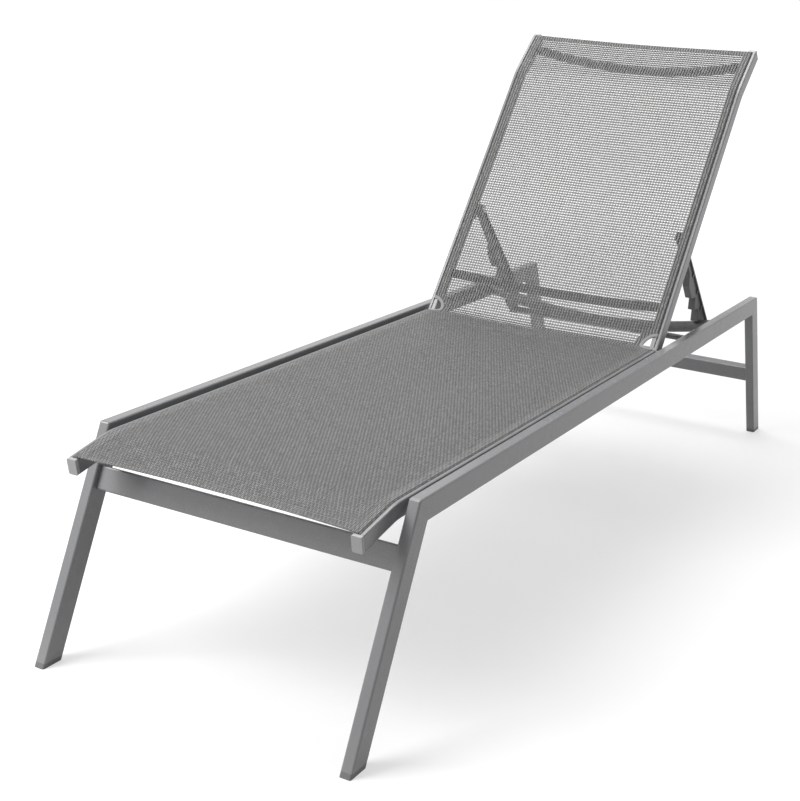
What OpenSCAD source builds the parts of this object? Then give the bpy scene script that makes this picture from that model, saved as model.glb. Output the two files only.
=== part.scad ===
// Reclining sun lounger. Two side frames of rectangular tube carry a sling seat on slim slotted rails and a
// sling backrest that two toothed arms hold up on a bowed cross tube.
// Millimetres. X runs across, +Y to the head end, Z up. The origin is on the floor, below the middle.

/* [Overall] */
// Width over the two side frames
overall_w = 600; // [560:10:700]
// Length on the floor over the feet
overall_l = 2000; // [1900:10:2100]
// Height of the top of the side rails
frame_h = 375; // [340:5:420]
// Lean of the legs from upright, in degrees
leg_splay = 24; // [16:1:28]

/* [Frame tube] */
// Tall side of the rectangular frame tube
tube_h = 40; // [36:1:46]
// Narrow side of the rectangular frame tube
tube_w = 20; // [18:1:26]
// Wall of the rectangular frame tube
tube_wall = 1.5; // [1.2:0.1:2.5]
// Radius of the tube's long edges
tube_edge = 3; // [2.6:0.1:4]
// Radius of the outer corner between rail and leg
knee_r = 5; // [3:0.5:6]
// Height of the centre of the brace between the front legs
front_brace_z = 285; // [230:5:300]
// Height of the centre of the brace between the rear legs
rear_brace_z = 167; // [120:5:250]

/* [Sling rails] */
// Width of a sling rail
rail_w = 18; // [16:0.5:22]
// Height of a sling rail
rail_h = 28; // [26:0.5:32]
// Gap between a sling rail and the side rail
rail_gap = 10; // [8:0.5:16]
// Wall of a sling rail
rail_wall = 2; // [1.6:0.1:2.4]
// Bend of the sling rails at their outer ends, in degrees
droop = 12; // [6:1:18]
// Radius of that bend at the middle of the rail
bend_r = 120; // [80:5:200]
// Diameter of the groove that holds the cloth rod
groove_d = 6.4; // [6:0.1:7]
// Width of the slot above the groove
slot_w = 2.6; // [2.2:0.1:3]
// From the outer face of a sling rail to the middle of the slot
slot_inset = 7.5; // [7:0.1:8.5]

/* [Seat] */
// From the foot end of the lounger to the bend of the seat rails
seat_bend_in = 154; // [140:2:200]
// Length of the drooping end of a seat rail, with its cap
seat_tail = 100; // [70:2:130]
// From the seat's bowed cross tube to the middle of the lounger
seat_tube_y = 280; // [260:5:290]
// Sag of that cross tube
seat_bow = 40; // [25:1:60]

/* [Backrest] */
// From the middle of the lounger to the hinge, toward the head end
hinge_y = 234; // [220:2:250]
// Angle of the backrest above the seat, in degrees
recline = 53.7; // [50:0.1:56]
// From the hinge to the bend of the backrest rails
back_straight = 634; // [600:2:660]
// Length of the bent end of a backrest rail, with its cap
back_tail = 118; // [100:2:140]
// From the hinge to the lower cross tube
low_tube_t = 107; // [90:1:130]
// Bow of the lower cross tube
low_bow = 23; // [15:1:35]
// From the bend to the upper cross tube
top_tube_t = 80; // [60:1:90]
// Bow of the upper cross tube
top_bow = 39; // [25:1:50]
// Diameter of the seat and backrest cross tubes
cross_d = 20; // [16:1:22]
// Wall of the round tubes
round_wall = 1.5; // [1:0.1:2.5]

/* [Support arms] */
// From the middle of the lounger to the catch tube, toward the head end
catch_y = 570; // [560:1:580]
// Diameter of the catch tube
catch_d = 25; // [22:0.5:27]
// Sag of the catch tube
catch_bow = 34; // [25:1:40]
// From the hinge to the arm pivots, along the backrest rails
arm_pivot_t = 272; // [266:1:280]
// Thickness of an arm
arm_w = 15; // [12:0.5:16]
// Distance between notches
notch_pitch = 42; // [38:1:44]
// Height of the tooth tips above the arm's middle line
tip_w = 24; // [22:0.5:26]
// Radius of the arm's pivot eye
eye_r = 11; // [9:0.5:12]
// Half the width of the arm's neck
neck_w = 8; // [6:0.5:9]
// From the last notch to the bar that joins the arms
bar_past = 68; // [60:1:72]
// Diameter of that bar
bar_d = 14; // [12:0.5:16]

/* [Fits] */
// Running clearance on the radius of a pin or bolt
running_fit = 0.05; // [0.03:0.01:0.1]
// Gap between faces that turn past each other
side_gap = 0.3; // [0.2:0.05:0.5]
// Gap between the catch tube and the notch
notch_gap = 0.4; // [0.3:0.05:0.8]
// Clearance of a plug in a tube
plug_gap = 0.2; // [0.1:0.05:0.3]
// Clearance of a screw in its hole, on the diameter
screw_gap = 0.4; // [0.2:0.1:0.6]

/* [Cloth] */
// Thickness of the sling
sling_t = 1.2; // [0.8:0.1:1.6]
// Height of the sling above the rails
sling_lift = 0.2; // [0.1:0.05:0.4]
// Diameter of the rod in the sling's edge
rod_d = 5.6; // [5:0.1:5.8]
// From the end of a sling rail to the edge of the sling
sling_end_in = 7; // [4:1:12]

/* [Caps and screws] */
// Height of a foot cap
foot_cap_h = 8; // [5:0.5:12]
// Length of the plugs inside tubes and rails
plug_l = 15; // [10:1:20]
// Thickness of the caps at the foot and head end of the sling rails
end_cap_t = 6; // [4:0.5:8]
// Thickness of the caps at the rear end of the seat rails
rear_cap_t = 3; // [2:0.5:4]
// Diameter of the spacers beside the seat rails
spacer_d = 16; // [14:0.5:20]
// Diameter of the frame screws
screw_d = 6; // [5:0.5:6]
// Diameter of the hinge bolts and arm pins
pin_d = 8; // [6:0.5:9]

/* [Hidden] */
round_steps = 48;
groove_steps = 12;
arc_steps = 720;
$fn = round_steps;
over = 20;
weld = 0.002;

// Side frames
rail_z = frame_h - tube_h / 2;
side_in = overall_w / 2 - tube_w;
knee_y = overall_l / 2 - frame_h * tan(leg_splay);
mitre_angle = (90 + leg_splay) / 2;
knee_tangent = knee_r / tan(mitre_angle);
leg_l = frame_h / cos(leg_splay);

// Sling rails, whose middle height is that of the side rails and of the hinge
rail_x = side_in - rail_gap - rail_w / 2;
rail_in = rail_x - rail_w / 2;
rail_edge = 2.5;
hollow_edge = 1;
slot_u = rail_w / 2 - slot_inset;
groove_cover = 2;
groove_v = rail_h / 2 - groove_cover - groove_d / 2;
hollow_top = groove_v - groove_d / 2 - rail_wall;
hollow_bottom = rail_wall - rail_h / 2;
bend_tangent = bend_r * tan(droop / 2);
seat_bend_y = overall_l / 2 - seat_bend_in;

// Running gap between the seat rails and the round ends of the backrest rails
hinge_clear = 3;
seat_start = hinge_y - rail_h / 2 - hinge_clear;
seat_run = seat_start + seat_bend_y;

// Spacers and screws along the seat rails, as shares of their straight stretch
spacer_shares = [0.08, 0.5, 0.93];
spacer_bore = screw_d + screw_gap;
screw_head_d = 11;
screw_head_t = 3;
screw_reach = 4;

// Sling
sling_low = rail_h / 2 + sling_lift;
sling_top = sling_low + sling_t;
sling_half = rail_x + slot_u;
rod_clear = 0.1;
corner_in = 6;
corner_clear = 0.6;
sling_setback = sling_top / tan(90 - recline / 2) + corner_clear;

// Hinge
bush_d = pin_d + 4;
bush_bore = pin_d + 2 * running_fit;
hinge_head_d = 14;
hinge_head_t = 4;
hinge_washer_t = 1.5;
hinge_washer_d = 16;
nut_d = 15;
nut_t = 6.5;
end_plug_l = bush_d / 2 + 10;

// Arms: x places count from the inner face of a backrest rail toward the middle
bracket_t = 3;
bracket_l = 44;
bracket_h = 24;
bracket_r = 4;
boss_d = 18;
boss_l = 2;
arm_out = rail_in - bracket_t - boss_l - side_gap;
arm_x = arm_out - arm_w / 2;
pin_head_d = 14;
pin_head_t = 3;
pin_washer_t = 0.8;
rivet_d = 5;
rivet_head_d = 9;
rivet_head_t = 1.5;
rivet_shares = [-0.34, 0.34];

// The catch tube as an arc, and its height and cut size at the outer face of an arm
catch_r = (side_in * side_in + catch_bow * catch_bow) / (2 * catch_bow);
catch_z = rail_z - catch_bow + catch_r - sqrt(catch_r * catch_r - arm_out * arm_out);
catch_cut_r = catch_d / 2 / cos(asin(arm_out / catch_r));

// The arm hangs from its pivot so that the last notch holds the catch tube
pivot_y = hinge_y + arm_pivot_t * cos(recline);
pivot_z = rail_z + arm_pivot_t * sin(recline);
notch_root = 4;
tooth_root = 5;
notch_w = notch_root + catch_cut_r + notch_gap;
reach = norm([catch_y - pivot_y, catch_z - pivot_z]);
notch_s = sqrt(reach * reach - notch_w * notch_w);
sight = atan2(catch_z - pivot_z, catch_y - pivot_y);
arm_angle = sight + atan2(notch_w, notch_s);
last_tip = notch_s + notch_w - tip_w - sqrt(2) * (catch_cut_r + notch_gap);
tooth_flat = 1.5;
tooth_count = 3;
hook_in = 14;
hook_rise = 9;
hook_l = 18;
flare_l = 26;
back_rise = 19.5;
bar_s = notch_s + bar_past;
bar_w = 11;
bar_eye_r = bar_d / 2 + 3.5;
bar_stop = 3;
pocket_depth = 4;
pocket_rim = 3.5;
pocket_count = 5;

frame_colour = [0.62, 0.63, 0.64];
light_colour = [0.78, 0.79, 0.80];
dark_colour = [0.27, 0.28, 0.29];
steel_colour = [0.70, 0.71, 0.73];
cloth_colour = [0.42, 0.42, 0.41];

// Both sides of the lounger: the right one as drawn, the left one mirrored
module both_sides() {
    children();
    mirror([1, 0, 0]) children();
}

// Moves what is drawn from the hinge axis, with +Y up the backrest and +Z to its front
module on_backrest() {
    translate([0, hinge_y, rail_z]) rotate([recline, 0, 0]) children();
}

// Moves what is drawn from an arm's pivot, with +Y along the arm and -Z to its teeth
module on_arm() {
    translate([0, pivot_y, pivot_z]) rotate([arm_angle, 0, 0]) children();
}

// A rectangle of width w and height h with round corners
module round_box(w, h, r) {
    square([w - 2 * r, h], center = true);
    square([w, h - 2 * r], center = true);
    for (u = [r - w / 2, w / 2 - r], v = [r - h / 2, h / 2 - r]) translate([u, v]) circle(r);
}

// A round bar or bore along X, from x0 to x1
module along_x(d, x0, x1) {
    translate([x0, 0, 0]) rotate([0, 90, 0]) cylinder(d = d, h = x1 - x0);
}

// A side view, drawn with Y across and Z up, as thick as the whole lounger and more
module across_lounger() {
    translate([-overall_w, 0, 0]) rotate([90, 0, 90]) linear_extrude(2 * overall_w) children();
}

// Frame tube

module tube_outer() {
    round_box(tube_w, tube_h, tube_edge);
}

module tube_inner(gap = 0) {
    round_box(tube_w - 2 * tube_wall - 2 * gap, tube_h - 2 * tube_wall - 2 * gap, tube_edge - tube_wall - gap);
}

module tube_section() {
    difference() {
        tube_outer();
        tube_inner();
    }
}

// The sliver that rounds off the sharp outer corner at the foot end
module knee_sliver() {
    difference() {
        polygon([[-knee_y - over * sin(leg_splay), frame_h - over * cos(leg_splay)],
            [-knee_y, frame_h + over], [-knee_y + over, frame_h]]);
        polygon([[-knee_y - over * sin(leg_splay), frame_h - over * cos(leg_splay)],
            [-knee_y - knee_tangent * sin(leg_splay), frame_h - knee_tangent * cos(leg_splay)],
            [-knee_y + knee_tangent, frame_h], [-knee_y + over, frame_h]]);
        translate([knee_tangent - knee_y, frame_h - knee_r]) circle(knee_r);
    }
}

// Side view of the stretch of the side rail, between the two mitre cuts
module rail_region() {
    cut = (tube_h + over) / tan(mitre_angle);
    rise = over / tan(mitre_angle);
    polygon([[-knee_y - rise, frame_h + over], [knee_y + rise, frame_h + over],
        [knee_y - cut, frame_h - tube_h - over], [cut - knee_y, frame_h - tube_h - over]]);
}

// Side view of the front leg, from the foot cap to the mitre cut
module leg_region() {
    cut = (tube_h + over) / tan(mitre_angle);
    rise = over / tan(mitre_angle);
    polygon([[-overall_l / 2 - over, foot_cap_h], [-knee_y - rise - over, frame_h + over],
        [-knee_y - rise, frame_h + over], [cut - knee_y, frame_h - tube_h - over], [cut - knee_y, foot_cap_h]]);
}

// The front leg's length in its own direction, for any section
module leg_run() {
    translate([0, -overall_l / 2, 0]) rotate([-leg_splay, 0, 0]) translate([0, tube_h / 2, -tube_h])
        linear_extrude(leg_l + 2 * tube_h) children();
}

module side_rail() {
    half = knee_y + over;
    translate([overall_w / 2 - tube_w / 2, 0, 0]) difference() {
        intersection() {
            translate([0, half, rail_z]) rotate([90, 0, 0]) linear_extrude(2 * half) tube_section();
            across_lounger() rail_region();
        }
        for (end = [0, 1]) mirror([0, end, 0]) across_lounger() knee_sliver();
    }
}

module side_rail_holes() {
    hole_in = side_in - over;
    hole_out = side_in + tube_w / 2;
    difference() {
        side_rail();
        translate([0, hinge_y, rail_z]) along_x(pin_d + screw_gap, hole_in, hole_out);
        for (share = spacer_shares) translate([0, seat_start - share * seat_run, rail_z])
            along_x(spacer_bore, hole_in, hole_out);
    }
}

module front_leg() {
    translate([overall_w / 2 - tube_w / 2, 0, 0]) difference() {
        intersection() {
            leg_run() tube_section();
            across_lounger() leg_region();
        }
        across_lounger() knee_sliver();
    }
}

// A level slice of the front leg's surroundings
module foot_slice(z0, z1) {
    translate([-tube_w, -overall_l / 2 - tube_h, z0]) cube([2 * tube_w, 3 * tube_h, z1 - z0]);
}

module foot_cap() {
    translate([overall_w / 2 - tube_w / 2, 0, 0]) {
        intersection() {
            leg_run() tube_outer();
            foot_slice(0, foot_cap_h);
        }
        intersection() {
            leg_run() tube_inner(plug_gap);
            foot_slice(foot_cap_h / 2, foot_cap_h + plug_l);
        }
    }
}

// A brace across the front legs, in the middle of their depth, with its centre at height z
module brace(z) {
    along = (z + tube_h / 2 * sin(leg_splay)) / cos(leg_splay);
    translate([0, -overall_l / 2, 0]) rotate([-leg_splay, 0, 0]) translate([-side_in, tube_h / 2, along])
        rotate([90, 0, 90]) linear_extrude(2 * side_in) tube_section();
}

// Bowed tubes

// A round tube between x = -half and x = half that sags by bow
module bowed_tube(half, bow, d) {
    arc_r = (half * half + bow * bow) / (2 * bow);
    spread = asin(half / arc_r) + d / arc_r * 90;
    intersection() {
        translate([0, 0, arc_r - bow]) rotate([90, 0, 0]) rotate([0, 0, -90 - spread])
            rotate_extrude(angle = 2 * spread, $fn = arc_steps) translate([arc_r, 0]) difference() {
                circle(d = d, $fn = round_steps);
                circle(d = d - 2 * round_wall, $fn = round_steps);
            }
        cube([2 * half, 4 * d, 4 * (bow + d)], center = true);
    }
}

// Sling rails: sections are drawn with their outer side to +u, about the middle of the rail

module rail_outer() {
    round_box(rail_w, rail_h, rail_edge, $fn = groove_steps);
}

module rail_hollow(gap = 0) {
    width = rail_w - 2 * rail_wall - 2 * gap;
    height = hollow_top - hollow_bottom - 2 * gap;
    translate([0, (hollow_top + hollow_bottom) / 2]) round_box(width, height, hollow_edge, $fn = groove_steps);
}

module rail_groove() {
    translate([slot_u, groove_v]) circle(d = groove_d, $fn = groove_steps);
    translate([slot_u - slot_w / 2, groove_v]) square([slot_w, rail_h]);
}

// Moves what is drawn to where the bend of the seat rails starts, with -Y on to the foot end
module at_seat_bend() {
    translate([0, bend_tangent - seat_bend_y, rail_z]) children();
}

// Moves what is drawn to where the bend of the backrest rails starts, with -Y on to the head end
module at_back_bend() {
    on_backrest() translate([0, back_straight - bend_tangent, 0]) mirror([0, 1, 0]) children();
}

// A section swept around the bend. Both lengths count from the corner that the bend rounds off: the first one
// back to the hinge, the second one on along the tail.
module bent_run(before, after) {
    straight = before - bend_tangent;
    translate([0, straight, 0]) rotate([90, 0, 0]) linear_extrude(straight) children();
    translate([0, 0, -bend_r]) {
        rotate(a = 180, v = [1, 0, 1]) rotate_extrude(angle = droop) translate([bend_r, 0])
            mirror([1, -1]) children();
        rotate([droop, 0, 0]) translate([0, weld, bend_r]) rotate([90, 0, 0])
            linear_extrude(after - bend_tangent + weld) children();
    }
}

// Moves what is drawn to the tail, at a distance past the corner of the bend
module on_tail(past) {
    translate([0, -bend_tangent, 0]) rotate([droop, 0, 0]) translate([0, -past, 0]) children();
}

// A cap of thickness t with its plug, on the end of a rail that runs toward -Y
module rail_cap(t) {
    rotate([90, 0, 0]) linear_extrude(t) rail_outer();
    translate([0, plug_l, 0]) rotate([90, 0, 0]) linear_extrude(plug_l + t / 2) rail_hollow(plug_gap);
}

module seat_rail() {
    wall_out = rail_w / 2 + over;
    difference() {
        at_seat_bend() translate([rail_x, 0, 0]) difference() {
            bent_run(seat_run - rear_cap_t, seat_tail - end_cap_t) rail_outer();
            bent_run(seat_run, seat_tail) rail_hollow();
            bent_run(seat_run, seat_tail) rail_groove();
        }
        for (share = spacer_shares) translate([rail_x, seat_start - share * seat_run, rail_z])
            along_x(spacer_bore, -wall_out, wall_out);
    }
}

module at_spacers() {
    for (share = spacer_shares) translate([0, seat_start - share * seat_run, rail_z]) children();
}

module spacer() {
    difference() {
        along_x(spacer_d, rail_x + rail_w / 2, side_in);
        along_x(spacer_bore, rail_in, side_in + over);
    }
}

module seat_screw() {
    along_x(screw_d, rail_in - screw_head_t / 2, side_in + screw_reach);
    along_x(screw_head_d, rail_in - screw_head_t, rail_in);
}

module back_rail() {
    bore_half = rail_w / 2 + over;
    translate([rail_x, 0, 0]) difference() {
        union() {
            at_back_bend() bent_run(back_straight, back_tail - end_cap_t) rail_outer();
            on_backrest() along_x(rail_h, -rail_w / 2, rail_w / 2);
        }
        at_back_bend() bent_run(back_straight - end_plug_l, back_tail) rail_hollow();
        at_back_bend() bent_run(back_straight - sling_setback, back_tail) rail_groove();
        on_backrest() along_x(bush_d + plug_gap, -bore_half, bore_half);
    }
}

// Sling: a flat sheet over both rails with a flange down each slot to the rod

module sling_section() {
    flange_low = groove_v + rod_d / 2 + rod_clear;
    translate([-sling_half, sling_low]) square([2 * sling_half, sling_t]);
    for (x = [-sling_half, sling_half - sling_t]) translate([x, flange_low])
        square([sling_t, sling_top - flange_low]);
}

module rod_section() {
    translate([rail_x + slot_u, groove_v]) circle(d = rod_d, $fn = groove_steps);
}

// Arms, drawn with s along the arm and w toward the teeth

// The neck widens to a first flat, and each tooth has a small flat tip and a ledge across at 45 degrees
function tooth(tip, root) = [[tip - tooth_flat, tip_w], [tip, tip_w], [tip + tip_w - root, root]];
function back_w(s) = -neck_w - back_rise * s / hook_end();
function hook_end() = notch_s + hook_in + hook_rise + hook_l;
function first_tip() = last_tip - (tooth_count - 1) * notch_pitch;

module arm_outline() {
    flare_end = first_tip() - notch_pitch;
    polygon(concat([[0, neck_w], [flare_end - flare_l, neck_w], [flare_end, tip_w]],
        [for (i = [0 : tooth_count - 2]) each tooth(first_tip() + i * notch_pitch, tooth_root)],
        tooth(last_tip, notch_root),
        [[notch_s + hook_in, notch_root], [notch_s + hook_in + hook_rise, tip_w], [hook_end(), tip_w],
            [bar_s, bar_w + neck_w], [bar_s, bar_w - neck_w], [hook_end(), back_w(hook_end())],
            [0, -neck_w]]));
}

// A recess between two ribs, below the toothed edge
module pocket(s0, s1) {
    front = tooth_root - pocket_rim;
    polygon([[s0, back_w(s0) + pocket_rim], [s1, back_w(s1) + pocket_rim], [s1, front], [s0, front]]);
}

// Moves what is drawn from an arm's pivot to the middle of the bar
module at_bar() {
    translate([0, bar_s, -bar_w]) children();
}

module arm() {
    pocket_start = eye_r + pocket_rim;
    pocket_step = (hook_end() - 2 * pocket_rim - pocket_start) / pocket_count;
    on_arm() translate([arm_x - arm_w / 2, 0, 0]) difference() {
        union() {
            rotate([90, 0, 90]) linear_extrude(arm_w) mirror([0, 1]) arm_outline();
            along_x(2 * eye_r, 0, arm_w);
            at_bar() along_x(2 * bar_eye_r, 0, arm_w);
        }
        along_x(bush_bore, -over, arm_w + over);
        at_bar() along_x(bar_d + 2 * plug_gap, -over, arm_w - bar_stop);
        for (x = [-pocket_depth, arm_w - pocket_depth], i = [0 : pocket_count - 1]) translate([x, 0, 0])
            rotate([90, 0, 90]) linear_extrude(2 * pocket_depth) mirror([0, 1])
                pocket(pocket_start + i * pocket_step, pocket_start + (i + 1) * pocket_step - pocket_rim);
    }
}

// Hardware of the arm pivots, drawn about the pivot on the right side of the backrest
module on_pivot() {
    on_backrest() translate([0, arm_pivot_t, 0]) children();
}

module arm_bracket() {
    on_pivot() difference() {
        union() {
            translate([rail_in - bracket_t, 0, 0]) rotate([90, 0, 90]) linear_extrude(bracket_t)
                round_box(bracket_l, bracket_h, bracket_r);
            along_x(boss_d, rail_in - bracket_t - boss_l, rail_in - bracket_t / 2);
        }
        along_x(bush_bore, arm_out, rail_in + over);
        at_rivets() along_x(rivet_d, arm_out, rail_in + over);
    }
}

module at_rivets() {
    for (share = rivet_shares) translate([0, share * bracket_l, 0]) children();
}

module rivets() {
    on_pivot() at_rivets() {
        along_x(rivet_d, rail_in - bracket_t - rivet_head_t / 2, rail_in);
        along_x(rivet_head_d, rail_in - bracket_t - rivet_head_t, rail_in - bracket_t);
    }
}

module arm_pin() {
    head_x = arm_x - arm_w / 2 - side_gap - pin_washer_t;
    on_pivot() {
        along_x(pin_d, head_x - pin_head_t / 2, rail_in);
        along_x(pin_head_d, head_x - pin_head_t, head_x);
    }
}

module arm_washer() {
    washer_x = arm_x - arm_w / 2 - side_gap;
    on_pivot() difference() {
        along_x(hinge_washer_d, washer_x - pin_washer_t, washer_x);
        along_x(bush_bore, washer_x - over, washer_x + over);
    }
}

// Hinge hardware, drawn about the hinge axis on the right side

module on_hinge() {
    translate([0, hinge_y, rail_z]) children();
}

module ring_x(od, id, x0, x1) {
    difference() {
        along_x(od, x0, x1);
        along_x(id, x0 - over, x1 + over);
    }
}

module hinge_bolt() {
    head_x = rail_in - side_gap - hinge_washer_t;
    on_hinge() {
        along_x(pin_d, head_x - hinge_head_t / 2, side_in + tube_wall + nut_t);
        along_x(hinge_head_d, head_x - hinge_head_t, head_x);
    }
}

module left_side_rail() {
    color(frame_colour) mirror([1, 0, 0]) side_rail_holes();
}

module right_side_rail() {
    color(frame_colour) side_rail_holes();
}

module left_front_leg() {
    color(frame_colour) mirror([1, 0, 0]) front_leg();
}

module right_front_leg() {
    color(frame_colour) front_leg();
}

module left_rear_leg() {
    color(frame_colour) mirror([1, 0, 0]) mirror([0, 1, 0]) front_leg();
}

module right_rear_leg() {
    color(frame_colour) mirror([0, 1, 0]) front_leg();
}

module foot_cap_front_left() {
    color(dark_colour) mirror([1, 0, 0]) foot_cap();
}

module foot_cap_front_right() {
    color(dark_colour) foot_cap();
}

module foot_cap_rear_left() {
    color(dark_colour) mirror([1, 0, 0]) mirror([0, 1, 0]) foot_cap();
}

module foot_cap_rear_right() {
    color(dark_colour) mirror([0, 1, 0]) foot_cap();
}

module front_brace() {
    color(frame_colour) brace(front_brace_z);
}

module rear_brace() {
    color(frame_colour) mirror([0, 1, 0]) brace(rear_brace_z);
}

module catch_tube() {
    color(dark_colour) translate([0, catch_y, rail_z]) bowed_tube(side_in, catch_bow, catch_d);
}

module left_seat_rail() {
    color(frame_colour) mirror([1, 0, 0]) seat_rail();
}

module right_seat_rail() {
    color(frame_colour) seat_rail();
}

module seat_spacers() {
    color(dark_colour) both_sides() at_spacers() spacer();
}

module seat_screws() {
    color(steel_colour) both_sides() at_spacers() seat_screw();
}

module seat_front_caps() {
    color(light_colour) both_sides() at_seat_bend() translate([rail_x, 0, 0])
        on_tail(seat_tail - end_cap_t) rail_cap(end_cap_t);
}

module seat_rear_caps() {
    color(dark_colour) both_sides() translate([rail_x, seat_start - rear_cap_t, rail_z]) mirror([0, 1, 0])
        rail_cap(rear_cap_t);
}

module seat_cross_tube() {
    color(frame_colour) translate([0, -seat_tube_y, rail_z]) bowed_tube(rail_in, seat_bow, cross_d);
}

module seat_rods() {
    color(light_colour) both_sides() at_seat_bend() bent_run(seat_run - rear_cap_t, seat_tail - end_cap_t)
        rod_section();
}

module seat_sling() {
    rear_half = rail_in - corner_in;
    color(cloth_colour) {
        at_seat_bend() bent_run(seat_run - rear_cap_t, seat_tail - sling_end_in) sling_section();
        translate([-rear_half, 0, rail_z + sling_low]) cube([2 * rear_half, hinge_y - sling_setback, sling_t]);
    }
}

module left_back_rail() {
    color(frame_colour) mirror([1, 0, 0]) back_rail();
}

module right_back_rail() {
    color(frame_colour) back_rail();
}

module lower_back_tube() {
    color(dark_colour) on_backrest() translate([0, low_tube_t, 0]) bowed_tube(rail_in, low_bow, cross_d);
}

module top_back_tube() {
    color(dark_colour) at_back_bend() on_tail(top_tube_t) bowed_tube(rail_in, top_bow, cross_d);
}

module back_top_caps() {
    color(light_colour) both_sides() at_back_bend() translate([rail_x, 0, 0])
        on_tail(back_tail - end_cap_t) rail_cap(end_cap_t);
}

module back_rods() {
    color(light_colour) both_sides() at_back_bend()
        bent_run(back_straight - sling_setback, back_tail - end_cap_t) rod_section();
}

module back_sling() {
    color(cloth_colour) at_back_bend()
        bent_run(back_straight - sling_setback, back_tail - sling_end_in) sling_section();
}

module arm_brackets() {
    color(dark_colour) both_sides() arm_bracket();
}

module bracket_rivets() {
    color(steel_colour) both_sides() rivets();
}

module arm_pins() {
    color(steel_colour) both_sides() arm_pin();
}

module arm_washers() {
    color(steel_colour) both_sides() arm_washer();
}

module left_arm() {
    color(dark_colour) mirror([1, 0, 0]) arm();
}

module right_arm() {
    color(dark_colour) arm();
}

module arm_bar() {
    half = arm_x + arm_w / 2 - bar_stop - plug_gap;
    color(dark_colour) on_arm() at_bar() difference() {
        along_x(bar_d, -half, half);
        along_x(bar_d - 2 * round_wall, -half - over, half + over);
    }
}

module hinge_bolts() {
    color(steel_colour) both_sides() hinge_bolt();
}

module hinge_washers() {
    washer_x = rail_in - side_gap;
    color(steel_colour) both_sides() on_hinge()
        ring_x(hinge_washer_d, bush_bore, washer_x - hinge_washer_t, washer_x);
}

module hinge_spacers() {
    color(dark_colour) both_sides() on_hinge()
        ring_x(spacer_d, bush_bore, rail_x + rail_w / 2 + side_gap, side_in);
}

module hinge_bushes() {
    color(dark_colour) both_sides() on_hinge() ring_x(bush_d, bush_bore, rail_in, rail_x + rail_w / 2);
}

module hinge_nuts() {
    nut_x = side_in + tube_wall;
    color(steel_colour) both_sides() on_hinge() ring_x(nut_d, bush_bore, nut_x, nut_x + nut_t);
}

left_side_rail();
right_side_rail();
left_front_leg();
right_front_leg();
left_rear_leg();
right_rear_leg();
foot_cap_front_left();
foot_cap_front_right();
foot_cap_rear_left();
foot_cap_rear_right();
front_brace();
rear_brace();
catch_tube();
left_seat_rail();
right_seat_rail();
seat_spacers();
seat_screws();
seat_front_caps();
seat_rear_caps();
seat_cross_tube();
seat_rods();
seat_sling();
left_back_rail();
right_back_rail();
lower_back_tube();
top_back_tube();
back_top_caps();
back_rods();
back_sling();
arm_brackets();
bracket_rivets();
arm_pins();
arm_washers();
left_arm();
right_arm();
arm_bar();
hinge_bolts();
hinge_washers();
hinge_spacers();
hinge_bushes();
hinge_nuts();
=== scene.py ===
"""Reclining sun lounger: two splayed side frames, slotted sling rails, a hinged backrest on toothed arms
and one continuous sling of open woven mesh.

The solids come packed from the CAD model. This script gives every one of them its finish, replaces the two
plain slings by one woven cloth that folds at the hinge, and sets the lounger in a plain pale studio.
"""

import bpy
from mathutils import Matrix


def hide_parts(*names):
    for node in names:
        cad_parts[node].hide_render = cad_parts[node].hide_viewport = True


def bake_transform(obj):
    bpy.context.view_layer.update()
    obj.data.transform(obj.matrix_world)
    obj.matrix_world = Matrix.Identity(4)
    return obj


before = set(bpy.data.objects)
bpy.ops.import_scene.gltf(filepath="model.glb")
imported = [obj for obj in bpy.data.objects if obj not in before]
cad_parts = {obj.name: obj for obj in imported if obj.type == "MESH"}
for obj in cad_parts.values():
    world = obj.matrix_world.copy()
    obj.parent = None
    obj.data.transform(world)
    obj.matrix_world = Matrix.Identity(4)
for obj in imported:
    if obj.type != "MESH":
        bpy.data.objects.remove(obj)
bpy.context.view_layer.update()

import logging
import math
from dataclasses import dataclass
from enum import Enum
from typing import Any, Protocol

import bpy
import numpy as np
from mathutils import Matrix, Vector

log = logging.getLogger("lounger")

MM = 0.001
Colour = tuple[float, float, float]
Place = tuple[float, float, float]
Settings = dict[str, Any]
Values = dict[int | str, Any]


# Shader tools


@dataclass(frozen=True)
class Grain:
    """One pattern of noise: about scale features a metre, how many finer ones, and how strong these are."""

    scale: float
    detail: float = 2.0
    rough: float = 0.5


class Socket:
    """One output of a shader node; arithmetic on it adds Math nodes to the same tree."""

    def __init__(self, shader: "Shader", link: bpy.types.NodeSocket) -> None:
        """Wraps a node's output socket."""
        self.shader = shader
        self.link = link

    def maths(self, operation: str, *others: "Socket | float") -> "Socket":
        """Adds one Math node.

        Args:
            operation: the Math node's operation.
            others: its second and third values.

        Returns:
            The node's result.
        """
        return self.shader.maths(operation, self, *others)

    def __add__(self, other: "Socket | float") -> "Socket":
        """Sum."""
        return self.maths("ADD", other)

    __radd__ = __add__

    def __mul__(self, other: "Socket | float") -> "Socket":
        """Product."""
        return self.maths("MULTIPLY", other)

    __rmul__ = __mul__

    def __sub__(self, other: "Socket | float") -> "Socket":
        """Difference."""
        return self.maths("SUBTRACT", other)

    def __rsub__(self, other: "Socket | float") -> "Socket":
        """Difference from a number."""
        return self.shader.maths("SUBTRACT", other, self)

    def __truediv__(self, other: "Socket | float") -> "Socket":
        """Quotient."""
        return self.maths("DIVIDE", other)

    def __pow__(self, other: "Socket | float") -> "Socket":
        """Power."""
        return self.maths("POWER", other)

    def __gt__(self, other: "Socket | float") -> "Socket":
        """1 where this is greater, and 0 elsewhere."""
        return self.maths("GREATER_THAN", other)

    def __lt__(self, other: "Socket | float") -> "Socket":
        """1 where this is smaller, and 0 elsewhere."""
        return self.maths("LESS_THAN", other)


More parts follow.
